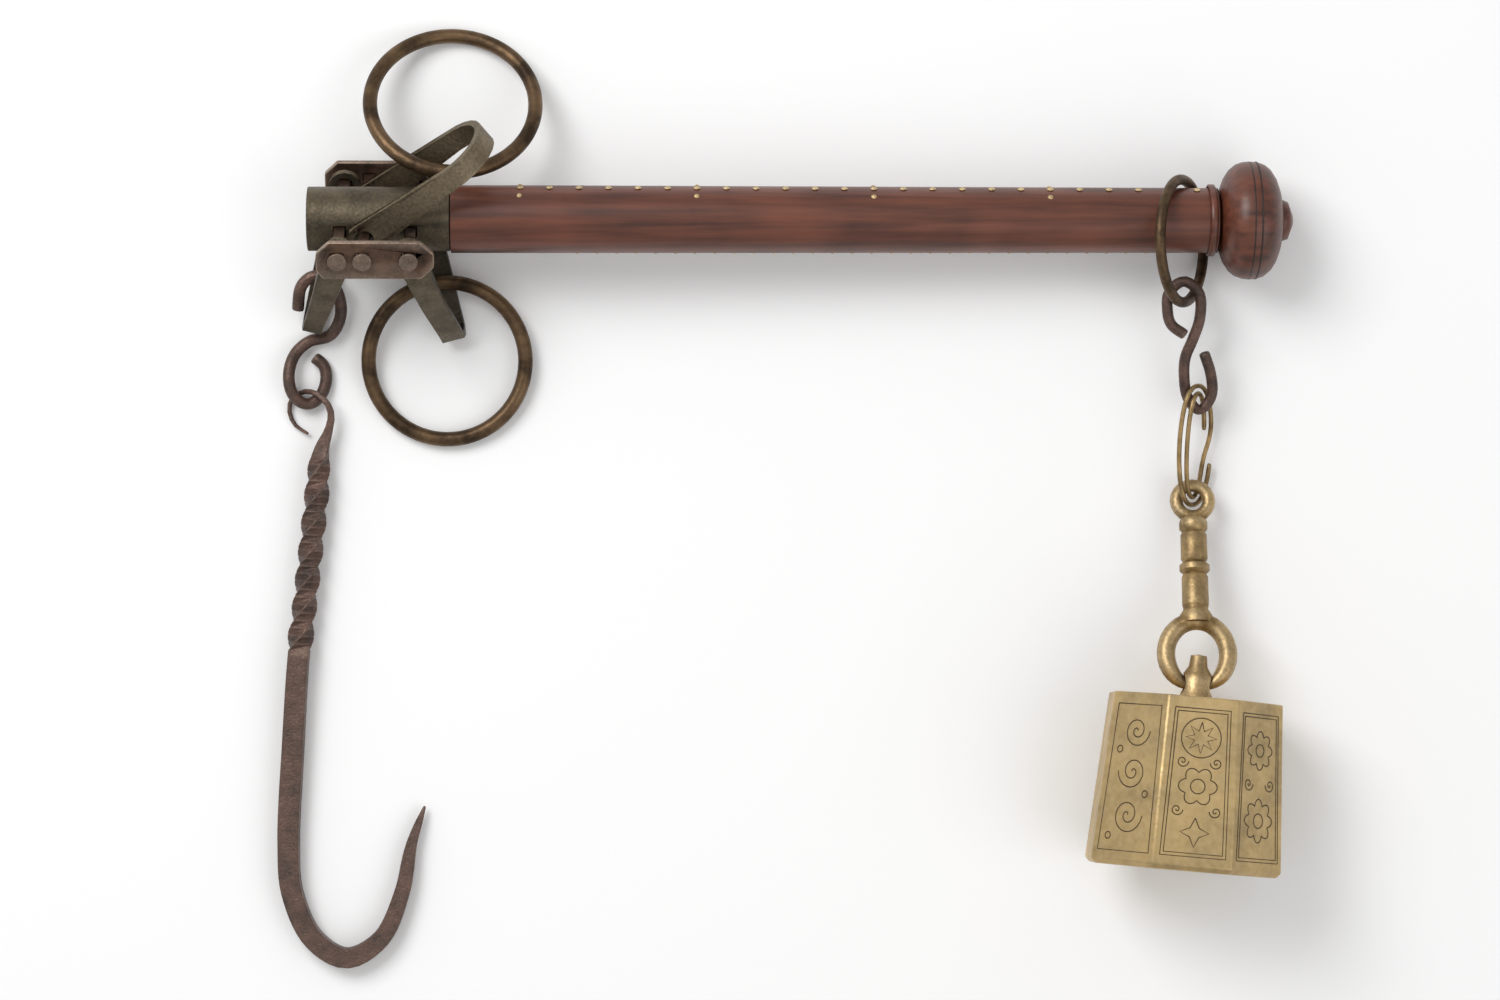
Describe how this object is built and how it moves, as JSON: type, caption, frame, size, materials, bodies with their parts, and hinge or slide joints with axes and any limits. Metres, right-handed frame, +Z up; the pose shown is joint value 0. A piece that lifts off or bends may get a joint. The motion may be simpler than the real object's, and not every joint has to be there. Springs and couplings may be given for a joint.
{
  "type": "steelyard balance",
  "caption": "Wooden-beam steelyard balance with shackles, hand rings, a twisted load hook and an octagonal brass weight, lying flat.",
  "frame": {"origin": "middle of the box on the table under it", "axes": "+X along the beam to the knob, +Y from the weight to the beam, +Z up from the table"},
  "size_m": [0.4302, 0.401, 0.0791],
  "materials": {
    "wood": "dark polished wood",
    "dark_iron": "dark olive patina",
    "worn_iron": "rusted and worn",
    "bronze": "brown patina",
    "brass": "aged brass"
  },
  "bodies": {
    "beam": {"beam_rod": "wood", "end_knob": "wood", "head_sleeve": "dark_iron", "load_pivot": "worn_iron", "hand_pivot": "worn_iron", "second_pivot": "worn_iron", "front_cheek": "worn_iron", "back_cheek": "worn_iron", "scale_pin_1": "brass", "scale_pin_2": "brass", "scale_pin_3": "brass", "scale_pin_4": "brass", "scale_pin_5": "brass", "scale_pin_6": "brass", "scale_pin_7": "brass", "scale_pin_8": "brass", "scale_pin_9": "brass", "scale_pin_10": "brass", "scale_pin_11": "brass", "scale_pin_12": "brass", "scale_pin_13": "brass", "scale_pin_14": "brass", "scale_pin_15": "brass", "scale_pin_16": "brass", "scale_pin_17": "brass", "scale_pin_18": "brass", "scale_pin_19": "brass", "scale_pin_20": "brass", "scale_pin_21": "brass", "scale_pin_22": "brass", "scale_pin_23": "brass", "scale_pin_24": "brass"},
    "load_shackle": {"load_shackle": "dark_iron"},
    "load_link": {"load_link": "worn_iron"},
    "load_hook": {"load_hook": "worn_iron"},
    "upper_shackle": {"upper_shackle": "dark_iron"},
    "upper_ring": {"upper_ring": "bronze"},
    "lower_shackle": {"lower_shackle": "dark_iron"},
    "lower_ring": {"lower_ring": "bronze"},
    "poise_ring": {"poise_ring": "bronze"},
    "poise_hook": {"poise_hook": "worn_iron"},
    "wire_link": {"wire_link": "brass"},
    "hanger": {"hanger": "brass"},
    "weight": {"weight_eye": "brass", "weight_body": "brass"}
  },
  "joints": [
    {"name": "load_swing", "type": "hinge", "parent": "beam", "child": "load_shackle", "pos_m": [-0.18536, 0.11692, 0.03666], "axis": [0.0246, -0.5299, 0.8477], "range_deg": [-15, 8]},
    {"name": "link_swing", "type": "hinge", "parent": "load_shackle", "child": "load_link", "pos_m": [-0.1995, 0.0729, 0.0096], "axis": [0.0246, -0.5299, 0.8477], "range_deg": [-6, 4]},
    {"name": "hook_swing", "type": "hinge", "parent": "load_link", "child": "load_hook", "pos_m": [-0.2027, 0.0419, 0.0056], "axis": [1, 0, 0], "range_deg": [-14, 2]},
    {"name": "upper_swing", "type": "hinge", "parent": "beam", "child": "upper_shackle", "pos_m": [-0.17496, 0.11692, 0.03636], "axis": [0.0246, -0.5299, 0.8477], "range_deg": [-1, 60]},
    {"name": "upper_ring_swing", "type": "hinge", "parent": "upper_shackle", "child": "upper_ring", "pos_m": [-0.1432, 0.138, 0.0386], "axis": [0.0246, -0.5299, 0.8477], "range_deg": [-3, 3]},
    {"name": "lower_swing", "type": "hinge", "parent": "beam", "child": "lower_shackle", "pos_m": [-0.15587, 0.11692, 0.03581], "axis": [0.0246, -0.5299, 0.8477], "range_deg": [-5, 25]},
    {"name": "lower_ring_swing", "type": "hinge", "parent": "lower_shackle", "child": "lower_ring", "pos_m": [-0.14306, 0.0917, 0.0102], "axis": [0, 0, 1], "range_deg": [-12, 12]},
    {"name": "poise_slide", "type": "slide", "parent": "beam", "child": "poise_ring", "axis": [0.9996, 0, -0.029], "range_m": [-0.24, 0]},
    {"name": "poise_hook_swing", "type": "hinge", "parent": "poise_ring", "child": "poise_hook", "pos_m": [0.16854, 0.08292, 0.0264], "axis": [-0.4384, 0, 0.8988], "range_deg": [-20, 20]},
    {"name": "wire_swing", "type": "hinge", "parent": "poise_hook", "child": "wire_link", "pos_m": [0.17704, 0.03702, 0.0132], "axis": [0, 0, 1], "range_deg": [-2, 2]},
    {"name": "hanger_swing", "type": "hinge", "parent": "wire_link", "child": "hanger", "pos_m": [0.17434, -0.0008, 0.0106], "axis": [0, 0, 1], "range_deg": [-4, 4]},
    {"name": "weight_swing", "type": "hinge", "parent": "hanger", "child": "weight", "pos_m": [0.17364, -0.0791, 0.0353], "axis": [1, 0, 0], "range_deg": [-12, 8]}
  ]
}
